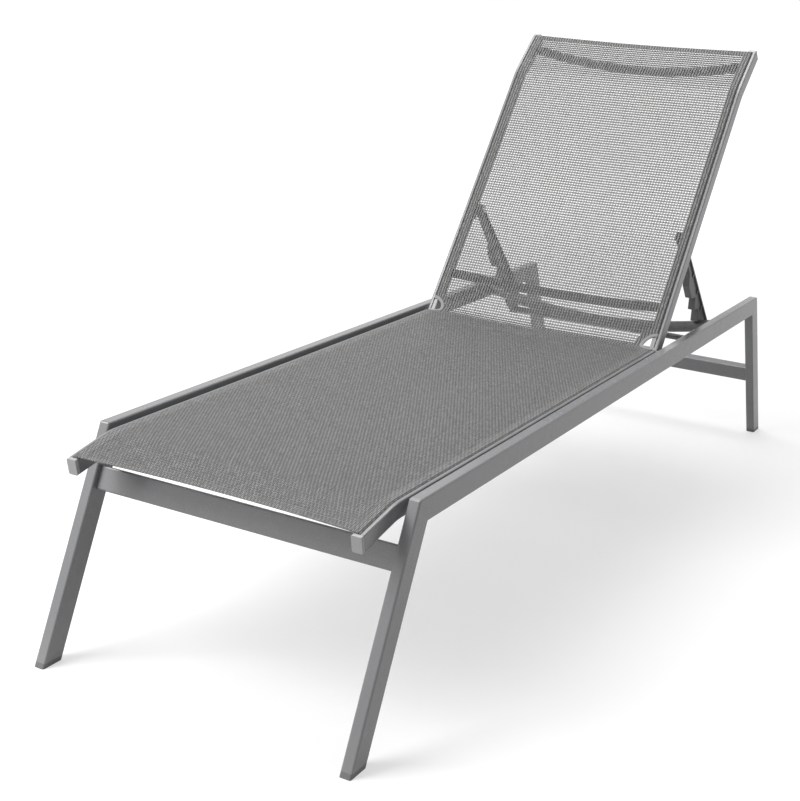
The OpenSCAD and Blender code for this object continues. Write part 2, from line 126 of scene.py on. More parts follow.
class Shader:
    """A material's node tree. Every node comes from node()."""

    def __init__(self, owner: bpy.types.Material | bpy.types.World) -> None:
        """Empties the node tree of a material or a world, ready for new nodes."""
        owner.use_nodes = True
        self.owner = owner
        self.tree = owner.node_tree
        self.tree.nodes.clear()

    @classmethod
    def named(cls, name: str) -> "Shader":
        """Starts a new material called name."""
        return cls(bpy.data.materials.new(name))

    def node(
        self, kind: str, settings: Settings | None = None, values: Values | None = None
    ) -> bpy.types.Node:
        """Makes one node.

        Args:
            kind: the node's type, without its ShaderNode prefix.
            settings: its properties, which are set first.
            values: a number, a colour or a link for each input, by name or by index.

        Returns:
            The node.
        """
        made = self.tree.nodes.new("ShaderNode" + kind)
        for name, value in (settings or {}).items():
            setattr(made, name, value)
        for name, value in (values or {}).items():
            if isinstance(value, Socket):
                self.tree.links.new(value.link, made.inputs[name])
            else:
                made.inputs[name].default_value = value
        return made

    def out(
        self,
        kind: str,
        output: int | str = 0,
        settings: Settings | None = None,
        values: Values | None = None,
    ) -> Socket:
        """Makes one node and wraps one of its outputs."""
        return Socket(self, self.node(kind, settings, values).outputs[output])

    def maths(self, operation: str, *values: "Socket | float") -> Socket:
        """Adds one Math node with these values."""
        return self.out("Math", 0, {"operation": operation}, dict(enumerate(values)))

    def place(self) -> Socket:
        """Object coordinates, in metres."""
        return self.out("TexCoord", "Object")

    def split(self, vector: Socket) -> list[Socket]:
        """The three numbers of a vector."""
        made = self.node("SeparateXYZ", values={0: vector})
        return [Socket(self, output) for output in made.outputs]

    def join(self, x: "Socket | float", y: "Socket | float", z: "Socket | float" = 0.0) -> Socket:
        """A vector of three numbers."""
        return self.out("CombineXYZ", 0, values={0: x, 1: y, 2: z})

    def grey(self, level: Socket) -> Socket:
        """A grey whose three parts are one number."""
        return self.join(level, level, level)

    def noise(self, vector: Socket, grain: Grain) -> Socket:
        """Noise from -0.5 to 0.5."""
        values = {"Vector": vector, "Scale": grain.scale, "Detail": grain.detail, "Roughness": grain.rough}
        return self.out("TexNoise", 0, values=values) - 0.5

    def fit(
        self, value: Socket, low: float, high: float, to_low: float = 0.0, to_high: float = 1.0
    ) -> Socket:
        """Maps low..high to to_low..to_high with a smooth step, held at the ends."""
        return self.out(
            "MapRange",
            0,
            {"interpolation_type": "SMOOTHSTEP"},
            {"Value": value, "From Min": low, "From Max": high, "To Min": to_low, "To Max": to_high},
        )

    def mix(self, share: Socket, first: "Socket | Colour", second: "Socket | Colour") -> Socket:
        """Mixes two colours, given as links or as colours."""
        first, second = (tone if isinstance(tone, Socket) else rgba(tone) for tone in (first, second))
        return self.out("Mix", 2, {"data_type": "RGBA"}, {0: share, 6: first, 7: second})

    def tinted(self, colour: "Socket | Colour", factor: Socket) -> Socket:
        """A colour made lighter or darker by a factor around 1."""
        return self.out("VectorMath", 0, {"operation": "SCALE"}, {0: colour, "Scale": factor})

    def bump(self, height: Socket, depth: float, strength: float, normal: Socket | None = None) -> Socket:
        """A bumped normal, for a height from 0 to 1 that is depth metres deep."""
        values: dict[Any, Any] = {"Height": height, "Distance": depth, "Strength": strength}
        if normal is not None:
            values["Normal"] = normal
        return self.out("Bump", 0, values=values)

    def softened(self, radius: float, samples: int = 4) -> Socket:
        """The face's normal, rounded over edges by a radius in metres."""
        return self.out("Bevel", 0, {"samples": samples}, {"Radius": radius})

    def surface(self, values: Values) -> bpy.types.Material:
        """Ends the tree in one Principled shader with these inputs, and returns the material."""
        shader = self.out("BsdfPrincipled", 0, values=values)
        self.node("OutputMaterial", values={"Surface": shader})
        return self.owner


def rgba(colour: Colour) -> tuple[float, float, float, float]:
    """A colour with full alpha, as a socket wants it."""
    return (*colour, 1.0)


# Finishes


class Finish(Protocol):
    """A finish that can be made into a material."""

    @property
    def name(self) -> str:
        """The finish's name, which its material takes."""

    def material(self) -> bpy.types.Material:
        """Builds the material."""


@dataclass(frozen=True)
class PowderCoat:
    """Satin powder coat on aluminium: fine orange peel, faint cloudiness, slightly burnished edges."""

    name: str
    colour: Colour
    roughness: float = 0.44
    ior: float = 1.62
    peel: Grain = Grain(1100.0, 3.0)
    peel_depth: float = 0.05 * MM
    peel_strength: float = 0.35
    peel_matt: float = 0.06
    speck: Grain = Grain(385.0, 1.0)
    speck_light: float = 0.10
    cloud: Grain = Grain(7.0, 3.0)
    cloud_light: float = 0.10
    cloud_matt: float = 0.10
    edge_radius: float = 1.2 * MM
    edge_turn: tuple[float, float] = (0.99, 0.80)
    edge_light: float = 0.22
    edge_gloss: float = 0.06
    dust: Colour = (0.42, 0.41, 0.39)
    dust_height: float = 90 * MM
    dust_share: float = 0.22
    dust_cloud: tuple[float, float] = (-0.15, 0.15)
    dust_cover: tuple[float, float] = (0.4, 1.0)
    dust_matt: float = 0.5

    def edges(self, shader: Shader) -> tuple[Socket, Socket]:
        """Rounded normal, and an edge mask from how far that normal turns away from the face's own."""
        soft = shader.softened(self.edge_radius)
        flat = shader.out("NewGeometry", "Normal")
        turn = shader.out("VectorMath", "Value", {"operation": "DOT_PRODUCT"}, {0: soft, 1: flat})
        return soft, shader.fit(turn, *self.edge_turn)

    def material(self) -> bpy.types.Material:
        """Builds the coat's material."""
        shader = Shader.named(self.name)
        place = shader.place()
        height = shader.split(place)[2]
        soft, edge = self.edges(shader)
        peel = shader.noise(place, self.peel)
        cloud = shader.noise(place, self.cloud)
        speck = shader.noise(place, self.speck)
        factor = 1.0 + cloud * self.cloud_light + speck * self.speck_light + edge * self.edge_light
        dust = shader.fit(height, self.dust_height, 0.0, 0.0, self.dust_share)
        dust = dust * shader.fit(cloud, *self.dust_cloud, *self.dust_cover)
        rough = self.roughness + cloud * self.cloud_matt + peel * self.peel_matt
        return shader.surface(
            {
                "Base Color": shader.mix(dust, shader.tinted(self.colour, factor), self.dust),
                "Roughness": rough - edge * self.edge_gloss + dust * self.dust_matt,
                "Normal": shader.bump(peel, self.peel_depth, self.peel_strength, soft),
                "IOR": self.ior,
            }
        )


@dataclass(frozen=True)
class MouldedPlastic:
    """Moulded plastic with a fine spark-eroded grain and softened edges."""

    name: str
    colour: Colour
    roughness: float = 0.5
    ior: float = 1.48
    grain: Grain = Grain(1700.0, 2.0, 0.6)
    grain_depth: float = 0.06 * MM
    grain_strength: float = 0.4
    grain_light: float = 0.16
    grain_matt: float = 0.10
    edge_radius: float = 0.8 * MM
    scuff: Grain = Grain(60.0, 5.0, 0.65)
    scuff_cloud: tuple[float, float] = (0.06, 0.22)
    scuff_light: float = 0.12
    scuff_matt: float = 0.06

    def material(self) -> bpy.types.Material:
        """Builds the plastic's material."""
        shader = Shader.named(self.name)
        place = shader.place()
        soft = shader.softened(self.edge_radius)
        grain = shader.noise(place, self.grain)
        worn = shader.fit(shader.noise(place, self.scuff), *self.scuff_cloud)
        factor = 1.0 + grain * self.grain_light + worn * self.scuff_light
        return shader.surface(
            {
                "Base Color": shader.tinted(self.colour, factor),
                "Roughness": self.roughness + grain * self.grain_matt + worn * self.scuff_matt,
                "Normal": shader.bump(grain, self.grain_depth, self.grain_strength, soft),
                "IOR": self.ior,
            }
        )


@dataclass(frozen=True)
class TurnedSteel:
    """Stainless steel, turned about an axis along X through (y, z), with fine rings left by the tool."""

    name: str
    centre: tuple[float, float]
    colour: Colour = (0.58, 0.58, 0.59)
    roughness: float = 0.3
    ring_pitch: float = 0.35 * MM
    ring_depth: float = 0.02 * MM
    ring_strength: float = 0.4
    edge_radius: float = 0.4 * MM
    smear: Grain = Grain(240.0, 4.0, 0.6)
    smear_light: float = 0.2
    smear_matt: float = 0.24

    def material(self) -> bpy.types.Material:
        """Builds the steel's material: rings are a sine of the distance from the axis over the pitch."""
        shader = Shader.named(self.name)
        place = shader.place()
        _, y, z = shader.split(place)
        across = y - self.centre[0]
        up = z - self.centre[1]
        radius = (across * across + up * up) ** 0.5
        rings = (radius * (2 * math.pi / self.ring_pitch)).maths("SINE") * 0.5 + 0.5
        smear = shader.noise(place, self.smear)
        soft = shader.softened(self.edge_radius)
        return shader.surface(
            {
                "Base Color": shader.tinted(self.colour, 1.0 + smear * self.smear_light),
                "Metallic": 1.0,
                "Roughness": self.roughness + smear * self.smear_matt,
                "Normal": shader.bump(rings, self.ring_depth, self.ring_strength, soft),
            }
        )


@dataclass(frozen=True)
class ExtrudedRod:
    """Plain extruded plastic with faint streaks along its length."""

    name: str
    colour: Colour = (0.62, 0.62, 0.60)
    roughness: float = 0.45
    streak: Grain = Grain(900.0)
    streak_stretch: float = 40.0
    streak_light: float = 0.16
    streak_matt: float = 0.14
    streak_depth: float = 0.05 * MM
    streak_strength: float = 0.3

    def material(self) -> bpy.types.Material:
        """Builds the rod's material: noise stretched along Y."""
        shader = Shader.named(self.name)
        x, y, z = shader.split(shader.place())
        streaks = shader.noise(shader.join(x, y / self.streak_stretch, z), self.streak)
        return shader.surface(
            {
                "Base Color": shader.tinted(self.colour, 1.0 + streaks * self.streak_light),
                "Roughness": self.roughness + streaks * self.streak_matt,
                "Normal": shader.bump(streaks, self.streak_depth, self.streak_strength),
            }
        )


@dataclass(frozen=True)
class SlingCloth:
    """Open weave of coated yarn laid in pairs, with folded hems, stitch lines and bound corners.

    A warp yarn shows where (step * warp number + weft number) / repeat has a fraction under a half, and a
    weft yarn elsewhere, so that each float passes over two yarns and lies beside a hidden one.
    """

    name: str
    crease: float
    warp_colour: Colour = (0.345, 0.346, 0.343)
    weft_colour: Colour = (0.036, 0.035, 0.033)
    # painted shade: the seat's cloth is darker than the same cloth on the back, for the shaded underside
    # seen through its gaps
    seat_painted_shade: float = 0.82
    step: float = 2.0
    repeat: float = 4.0
    # painted shade: colour between the yarns, seen only where the hems close the weave, is darkened as if
    # the layer below lay in shade
    under: float = 0.55
    band: Colour = (0.26, 0.26, 0.262)
    thread_line: Colour = (0.07, 0.07, 0.07)
    pitch: float = 6.2 * MM
    back_pair: float = 1.9 * MM
    seat_pair: float = 2.8 * MM
    back_yarn: float = 0.85 * MM
    seat_yarn: float = 1.4 * MM
    tightening: float = 25 * MM
    yarn_shade: float = 0.80
    # painted highlight: a yarn's colour rises with its height, lighter on the crown and darker on the
    # flanks
    yarn_crown_highlight: float = 0.26
    melange: float = 2.2
    melange_length: float = 11 * MM
    melange_spread: float = 7.3
    melange_grain: Grain = Grain(1.0, 2.0, 0.6)
    cloud: Grain = Grain(24.0, 3.0)
    cloud_light: float = 0.14
    cloud_matt: float = 0.12
    band_shade: float = 0.86
    # painted highlight: the binding is lighter where the yarns under it rise
    band_crown_highlight: float = 0.16
    roughness: float = 0.6
    round_gloss: float = 0.08
    ior: float = 1.45
    relief: float = 0.35 * MM
    relief_strength: float = 0.5
    hem: float = 20 * MM
    end_hem: float = 12 * MM
    binding: float = 8 * MM
    piping_line: float = 0.8 * MM
    stitch_in: float = 2.0 * MM
    stitch_width: float = 0.7 * MM
    stitch_length: float = 4.0 * MM
    stitch_share: float = 0.72
    turn_in: float = 6.0 * MM
    sheen: float = 0.1

    def yarns(
        self, shader: Shader, place: Socket, along: Socket, pair: Socket, half: Socket
    ) -> tuple[Socket, Socket, Socket, Socket]:
        """Pairs of yarns across one direction.

        A yarn's middle is half the pair's spacing from the middle of each repeat, so the distance from it
        is | |place - repeat's middle| - spacing / 2 |, and a yarn is round: 1 - (distance / half)^2. Its
        tone is noise that changes from yarn to yarn and slowly along each.

        Args:
            shader: the tree to add to.
            place: place across the yarns, in metres.
            along: place along the yarns, in metres.
            pair: spacing of the two yarns of a pair, in metres.
            half: half of a yarn's width, in metres.

        Returns:
            1 on a yarn and 0 beside it, the yarn's height from 0 to 1, its number, and its tone around 0.
        """
        repeat = place / self.pitch
        from_middle = repeat.maths("FRACT") - 0.5
        number = repeat.maths("FLOOR") * 2.0 + (from_middle > 0.0)
        off = (from_middle.maths("ABSOLUTE") * self.pitch - pair / 2).maths("ABSOLUTE") / half
        spot = shader.join(number * self.melange_spread, along / self.melange_length)
        tone = shader.noise(spot, self.melange_grain)
        return off < 1.0, (1.0 - off * off).maths("MAXIMUM", 0.0), number, tone

    def material(self) -> bpy.types.Material:
        """Builds the cloth's material from its own UV map, in metres, and its edge distances."""
        shader = Shader.named(self.name)
        across, along, _ = shader.split(shader.out("UVMap", 0, {"uv_map": "cloth"}))
        side = shader.out("Attribute", "Fac", {"attribute_name": "side_distance"})
        end = shader.out("Attribute", "Fac", {"attribute_name": "end_distance"})
        cut = shader.out("Attribute", "Fac", {"attribute_name": "notch_distance"})
        bound = cut < self.binding
        piping = (cut - self.binding).maths("ABSOLUTE") < self.piping_line
        piping = piping.maths("MAXIMUM", cut < self.piping_line)
        fold = (self.crease - self.tightening, self.crease)
        half = shader.fit(along, *fold, self.seat_yarn / 2, self.back_yarn / 2)
        pair = shader.fit(along, *fold, self.seat_pair, self.back_pair)
        warp, warp_rise, warp_id, warp_tone = self.yarns(shader, across, along, pair, half)
        weft, weft_rise, weft_id, weft_tone = self.yarns(shader, along, across, pair, half)
        over = ((warp_id * self.step + weft_id) / self.repeat).maths("FRACT") < 0.5
        show_warp = warp * (1.0 - weft * (1.0 - over))
        yarn = warp.maths("MAXIMUM", weft)
        closed = (side < self.hem).maths("MAXIMUM", end < self.end_hem).maths("MAXIMUM", bound)
        tone = show_warp * warp_tone + (1.0 - show_warp) * weft_tone
        clouds = shader.noise(shader.join(across, along), self.cloud)
        rise = show_warp * warp_rise + (1.0 - show_warp) * weft_rise
        # painted highlight: each yarn is lighter on its crown by its height; melange and cloud are the
        # yarn's own tone
        shade = self.yarn_shade + rise * self.yarn_crown_highlight + tone * self.melange + clouds * self.cloud_light
        # painted shade: between the yarns the colour is scaled down by under, for the shaded second layer
        # that the hems show there
        shade = shade * (yarn * (1.0 - self.under) + self.under)
        # painted shade: the yarn colour before the fold, over the whole seat, is scaled down for the shaded
        # underside seen through its gaps
        shade = shade * shader.fit(along, *fold, self.seat_painted_shade, 1.0)
        yarns = shader.tinted(shader.mix(show_warp, self.weft_colour, self.warp_colour), shade)
        # painted highlight: the binding's colour rises with the yarn height; the clouds are its own tone
        band_clouds_and_crown_highlight = self.band_shade + rise * self.band_crown_highlight + clouds * self.cloud_light
        bands = shader.tinted(self.band, band_clouds_and_crown_highlight)
        side_line = (side - (self.hem - self.stitch_in)).maths("ABSOLUTE") < self.stitch_width / 2
        end_line = (end - (self.end_hem - self.stitch_in)).maths("ABSOLUTE") < self.stitch_width / 2
        side_dash = (along / self.stitch_length).maths("FRACT") < self.stitch_share
        end_dash = (across / self.stitch_length).maths("FRACT") < self.stitch_share
        stitch = side_line * side_dash * (end > self.end_hem)
        stitch = stitch.maths("MAXIMUM", end_line * end_dash * (side > self.hem)) * (1.0 - bound)
        relief = rise * (1.0 - stitch) * (side > self.turn_in)
        cloth = shader.mix(bound, yarns, bands)
        colour = shader.mix(stitch.maths("MAXIMUM", piping), cloth, self.thread_line)
        return shader.surface(
            {
                "Base Color": colour,
                "Roughness": self.roughness + clouds * self.cloud_matt - rise * self.round_gloss,
                "Alpha": closed.maths("MAXIMUM", yarn),
                "Normal": shader.bump(relief, self.relief, self.relief_strength),
                "Sheen Weight": self.sheen,
                "IOR": self.ior,
            }
        )


class Coat(Enum):
    """The powder coats used on the metal."""

    FRAME = PowderCoat("coat_frame", (0.195, 0.197, 0.202), roughness=0.27)
    RAIL = PowderCoat("coat_rail", (0.190, 0.192, 0.196), roughness=0.27)
    DARK = PowderCoat("coat_dark", (0.095, 0.097, 0.10))


class Plastic(Enum):
    """The moulded plastics."""

    FOOT = MouldedPlastic("plastic_foot", (0.17, 0.172, 0.176), roughness=0.55)
    END = MouldedPlastic("plastic_end", (0.37, 0.372, 0.375), roughness=0.42)
    DARK = MouldedPlastic("plastic_dark", (0.055, 0.057, 0.06))
    ARM = MouldedPlastic("plastic_arm", (0.135, 0.137, 0.14), roughness=0.48)


def dress(nodes: tuple[str, ...], finish: Finish) -> None:
    """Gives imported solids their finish.

    Args:
        nodes: names of the solids.
        finish: the finish that they share.
    """
    material = finish.material()
    for name in nodes:
        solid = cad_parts[name]
        if not solid.material_slots:
            solid.data.materials.append(material)
        for slot in solid.material_slots:
            slot.material = material
        log.info("%s: %s", name, finish.name)


# Sub-assemblies


@dataclass
class SideFrames:
    """The two side frames with their legs, braces, foot caps and the bowed catch tube."""

    coated: tuple[str, ...] = (
        "left_side_rail",
        "right_side_rail",
        "left_front_leg",
        "right_front_leg",
        "left_rear_leg",
        "right_rear_leg",
        "front_brace",
        "rear_brace",
    )
    feet: tuple[str, ...] = (
        "foot_cap_front_left",
        "foot_cap_front_right",
        "foot_cap_rear_left",
        "foot_cap_rear_right",
    )
    dark: tuple[str, ...] = ("catch_tube",)

    def build(self) -> None:
        """Dresses the tubes and the feet."""
        dress(self.coated, Coat.FRAME.value)
        dress(self.feet, Plastic.FOOT.value)
        dress(self.dark, PowderCoat("coat_catch_tube", Coat.DARK.value.colour))


@dataclass
class SeatDeck:
    """The seat's sling rails, cross tube, caps, edge rods, spacers and screws."""

    rails: tuple[str, ...] = ("left_seat_rail", "right_seat_rail")
    tubes: tuple[str, ...] = ("seat_cross_tube",)
    light_caps: tuple[str, ...] = ("seat_front_caps",)
    dark_parts: tuple[str, ...] = ("seat_rear_caps", "seat_spacers")
    rods: tuple[str, ...] = ("seat_rods",)
    screws: tuple[str, ...] = ("seat_screws",)
    screw_height: float = 355 * MM

    def build(self) -> None:
        """Dresses the seat's solids."""
        dress(self.rails, Coat.RAIL.value)
        dress(self.tubes, PowderCoat("coat_cross_tube", Coat.FRAME.value.colour, roughness=0.34))
        dress(self.light_caps, Plastic.END.value)
        dress(self.dark_parts, Plastic.DARK.value)
        dress(self.rods, ExtrudedRod("rod_seat"))
        dress(self.screws, TurnedSteel("steel_screws", (0.0, self.screw_height)))


@dataclass
class Backrest:
    """The backrest's rails, cross tubes, caps, edge rods and the brackets that carry the arms."""

    rails: tuple[str, ...] = ("left_back_rail", "right_back_rail")
    tubes: tuple[str, ...] = ("lower_back_tube", "top_back_tube", "arm_brackets")
    caps: tuple[str, ...] = ("back_top_caps",)
    rods: tuple[str, ...] = ("back_rods",)
    hinge: tuple[float, float] = (234 * MM, 355 * MM)
    pins: tuple[float, float] = (395.028 * MM, 574.212 * MM)

    def build(self) -> None:
        """Dresses the backrest's solids, and the hinge's fasteners."""
        dress(self.rails, PowderCoat("coat_back_rail", Coat.RAIL.value.colour, roughness=0.28))
        dress(self.tubes, Coat.DARK.value)
        dress(self.caps, MouldedPlastic("plastic_top_caps", Plastic.END.value.colour, roughness=0.42))
        dress(self.rods, ExtrudedRod("rod_back"))
        dress(("hinge_bolts", "hinge_washers", "hinge_nuts"), TurnedSteel("steel_hinge", self.hinge))
        dress(("hinge_spacers", "hinge_bushes"), MouldedPlastic("plastic_hinge", Plastic.DARK.value.colour))
        dress(("arm_pins", "arm_washers", "bracket_rivets"), TurnedSteel("steel_pins", self.pins))


@dataclass
class SupportArms:
    """The two toothed arms and the bar that ties their lower ends."""

    arms: tuple[str, ...] = ("left_arm", "right_arm")
    bar: tuple[str, ...] = ("arm_bar",)

    def build(self) -> None:
        """Dresses the arms and their bar."""
        dress(self.arms, Plastic.ARM.value)
        dress(self.bar, PowderCoat("coat_arm_bar", Coat.DARK.value.colour))


@dataclass
class Sling:
    """One cloth from the foot end, over the seat, through the fold at the hinge and up the backrest.

    Its side view is a path whose heading is a chain of straight stretches and arcs. Lengths are along the
    middle of the cloth, and heading is the angle above the Y axis.
    """

    start: tuple[float, float] = (-940.05 * MM, 350.14 * MM)
    tail: float = 80.4 * MM
    droop: float = math.radians(12.0)
    recline: float = math.radians(53.7)
    bend_radius: float = 134.8 * MM
    fold_radius: float = 36 * MM
    seat: float = 1042.2 * MM
    back: float = 596.2 * MM
    head_tail: float = 98.4 * MM
    thickness: float = 1.2 * MM
    core_thickness: float = 0.5 * MM
    flat_half: float = 260.5 * MM
    edge_radius: float = 2.0 * MM
    flange: float = 1.8 * MM
    notch_reach: float = 239 * MM
    notch_seat: float = 8 * MM
    notch_back: float = 25 * MM
    notch_least: float = 0.5 * MM
    binding_width: float = 8 * MM
    binding_rise: float = 0.8 * MM
    hem_width: float = 20 * MM
    hem_rise: float = 0.25 * MM
    hem_step: float = 1.5 * MM
    hem_clear: float = 4 * MM
    foot_cut: float = 9.5 * MM
    head_cut: float = 3 * MM
    cut_fade: float = 220 * MM
    sag_half: float = 250 * MM
    sag_shares: tuple[float, ...] = (0.0, 0.15, 0.35, 0.62, 0.80, 1.0)
    sags: tuple[float, ...] = (0.5 * MM, 3 * MM, 5 * MM, 3 * MM, 4 * MM, 2 * MM)
    seat_step: float = 8 * MM
    wrinkle: float = 1.5 * MM
    wrinkle_pitch: float = 36 * MM
    wrinkle_peak: float = 60 * MM
    wrinkle_reach: float = 43.3 * MM
    wrinkle_start: float = 22.5 * MM
    wrinkle_zone: float = 150 * MM
    wrinkle_drift: float = 640 * MM
    wrinkle_shift: float = 1.8
    fold_step: float = 1.6 * MM
    notch_step: float = 0.8 * MM
    path_step: float = 0.2 * MM
    inner_share: float = 0.86
    columns: int = 22
    edge_columns: int = 9
    notch_points: int = 260
    sharp: float = math.radians(50)
    blend_reach: float = 30 * MM

    def stretches(self) -> list[tuple[float, float, float]]:
        """The path's stretches from the foot end, each its length and its headings at both ends."""
        fold = self.fold_radius * self.recline
        bend = self.bend_radius * self.droop
        top = self.recline - self.droop
        return [
            (self.tail, self.droop, self.droop),
            (bend, self.droop, 0.0),
            (self.seat, 0.0, 0.0),
            (fold, 0.0, self.recline),
            (self.back, self.recline, self.recline),
            (bend, self.recline, top),
            (self.head_tail, top, top),
        ]

    @property
    def length(self) -> float:
        """The cloth's whole length."""
        return sum(stretch[0] for stretch in self.stretches())

    @property
    def crease(self) -> float:
        """Length from the foot end to the middle of the fold."""
        lengths = [stretch[0] for stretch in self.stretches()]
        return sum(lengths[:3]) + lengths[3] / 2

    @property
    def notch_span(self) -> tuple[float, float]:
        """Lengths along the cloth between which the notch and its binding lie."""
        return self.crease - 2 * self.notch_seat, self.crease + 2 * self.notch_back

    @property
    def half_width(self) -> float:
        """Half of the cloth's width, measured along its own section."""
        return self.flat_half + self.edge_radius * math.pi / 2 + self.flange

    def path(self, along: np.ndarray) -> tuple[np.ndarray, np.ndarray, np.ndarray]:
        """Where the cloth's middle line runs.

        The heading is linear in length within a stretch, and the place is the running sum of its cosine and
        sine over a fine step, by the trapezoid rule.

        Args:
            along: lengths from the foot end.

        Returns:
            The y, the z and the heading at each length.
        """
        lengths = np.array([stretch[0] for stretch in self.stretches()])
        knots = np.concatenate([[0.0], np.cumsum(lengths)])
        headings = np.array([[stretch[1], stretch[2]] for stretch in self.stretches()])
        fine = np.linspace(0.0, knots[-1], int(knots[-1] / self.path_step))
        piece = np.clip(np.searchsorted(knots, fine, side="right") - 1, 0, len(lengths) - 1)
        share = (fine - knots[piece]) / lengths[piece]
        heading = headings[piece, 0] * (1 - share) + headings[piece, 1] * share
        way = np.stack([np.cos(heading), np.sin(heading)])
        steps = np.diff(fine) * (way[:, 1:] + way[:, :-1]) / 2
        y = self.start[0] + np.concatenate([[0.0], np.cumsum(steps[0])])
        z = self.start[1] + np.concatenate([[0.0], np.cumsum(steps[1])])
        return np.interp(along, fine, y), np.interp(along, fine, z), np.interp(along, fine, heading)

    def half_at(self, along: np.ndarray) -> np.ndarray:
        """Half the width at each length: the whole half width, less a notch beside the fold.

        The notch is a half oval whose two ends have different lengths: depth * (1 - d^2)^0.5, where d is
        the length from the fold over the notch's reach on that side.
        """
        reach = np.where(along < self.crease, self.notch_seat, self.notch_back)
        inside = np.clip(1.0 - ((along - self.crease) / reach) ** 2, 0.0, 1.0)
        return self.half_width + (self.notch_reach - self.half_width) * np.sqrt(inside)

    def section(self, across: np.ndarray) -> tuple[np.ndarray, np.ndarray]:
        """The cloth's section: flat, then a quarter turn down into the rail's slot, then straight down.

        Args:
            across: lengths from the middle line, negative on the left.

        Returns:
            The x, and the height above the middle of the cloth.
        """
        side = np.sign(across)
        reach = np.abs(across)
        turn = np.clip((reach - self.flat_half) / self.edge_radius, 0.0, math.pi / 2)
        down = np.maximum(reach - self.flat_half - self.edge_radius * math.pi / 2, 0.0)
        x = np.minimum(reach, self.flat_half) + self.edge_radius * np.sin(turn)
        height = -self.edge_radius * (1 - np.cos(turn)) - down
        return side * x, height

    def sag_at(self, along: np.ndarray, x: np.ndarray) -> np.ndarray:
        """How far the cloth sags: a depth that changes along it, times (1 - (x / half)^2)^2 across."""
        depth = np.interp(along / self.length, self.sag_shares, self.sags)
        return depth * self.bowl(x) ** 2

    def bowl(self, x: np.ndarray) -> np.ndarray:
        """1 on the middle line, falling to 0 near the rails: 1 - (x / half)^2."""
        return np.clip(1 - (x / self.sag_half) ** 2, 0.0, 1.0)

    def wrinkles(self, along: np.ndarray, x: np.ndarray) -> np.ndarray:
        """Height of the soft wrinkles that run across the seat just before the fold.

        They are a sine of the length before the fold, shifted by a slower sine across. A bell curve of that
        length fades them, and so do the fold itself and both edges.
        """
        before = np.maximum(self.crease - along, 0.0)
        shift = np.sin(2 * math.pi * x / self.wrinkle_drift)
        wave = np.sin(2 * math.pi * before / self.wrinkle_pitch + shift * self.wrinkle_shift)
        bell = np.exp(-(((before - self.wrinkle_peak) / self.wrinkle_reach) ** 2))
        start = np.clip(before / self.wrinkle_start, 0.0, 1.0)
        return self.wrinkle * wave * bell * self.bowl(x) * start

    def cut(self, along: np.ndarray, across: np.ndarray) -> tuple[np.ndarray, np.ndarray]:
        """Moves the rows near the cloth's ends, so that these are hollow arcs as a stretched cloth's are.

        A row moves inwards by cut * (1 - (across / half)^2) at the end, fading to nothing over cut_fade.

        Args:
            along: lengths along.
            across: lengths across.

        Returns:
            The moved lengths along, and the distance to the nearer end.
        """
        arc = np.clip(1.0 - (across / self.half_width) ** 2, 0.0, 1.0)
        foot = self.foot_cut * arc
        head = self.head_cut * arc
        near_foot = np.clip(1.0 - along / self.cut_fade, 0.0, 1.0) ** 2
        near_head = np.clip(1.0 - (self.length - along) / self.cut_fade, 0.0, 1.0) ** 2
        moved = along + foot * near_foot - head * near_head
        return moved, np.minimum(moved - foot, self.length - head - moved)

    def stations(self) -> tuple[np.ndarray, np.ndarray]:
        """Lengths along the cloth, and shares of its half width, both closer where the form turns."""
        knots = np.concatenate([[0.0], np.cumsum([stretch[0] for stretch in self.stretches()])])
        low, high = self.notch_span
        fold = self.crease - 4 * self.notch_seat
        marks = [
            (knots[0], knots[1], self.seat_step),
            (knots[1], knots[2], self.fold_step * 2),
            (knots[2], self.crease - self.wrinkle_zone, self.seat_step),
            (self.crease - self.wrinkle_zone, fold, self.seat_step / 2),
            (fold, low, self.fold_step),
            (low, high, self.notch_step),
            (high, knots[5], self.seat_step),
            (knots[5], knots[6], self.fold_step * 2),
            (knots[6], knots[7], self.seat_step),
        ]
        runs = [np.linspace(a, b, max(2, round((b - a) / step) + 1)) for a, b, step in marks]
        turn = self.flat_half / self.half_width
        inner = np.linspace(0.0, self.inner_share, self.columns)
        near = np.linspace(self.inner_share, turn, self.columns)
        edge = np.linspace(turn, 1.0, self.edge_columns)
        half = np.unique(np.concatenate([inner, near, edge]))
        return np.unique(np.concatenate(runs)), np.concatenate([-half[:0:-1], half])

    def edge_distance(self, along: np.ndarray, across: np.ndarray) -> tuple[np.ndarray, np.ndarray]:
        """Distances on the flat cloth to its side edge: the least distance to points of that edge.

        Args:
            along: lengths along, one for each point.
            across: lengths across, one for each point.

        Returns:
            The distance to the side edge, and the distance to the part of the edge that the notch makes.
        """
        low, high = self.notch_span
        line = np.linspace(low, high, self.notch_points)
        edge = self.half_at(line)
        cut = edge < self.half_width - self.notch_least
        near = (along > low - self.hem_width) & (along < high + self.hem_width)
        gaps = np.hypot(along[near, None] - line[None, cut], np.abs(across[near, None]) - edge[None, cut])
        to_notch = np.full_like(across, self.half_width)
        to_notch[near] = gaps.min(axis=1)
        return np.minimum(self.half_width - np.abs(across), to_notch), to_notch

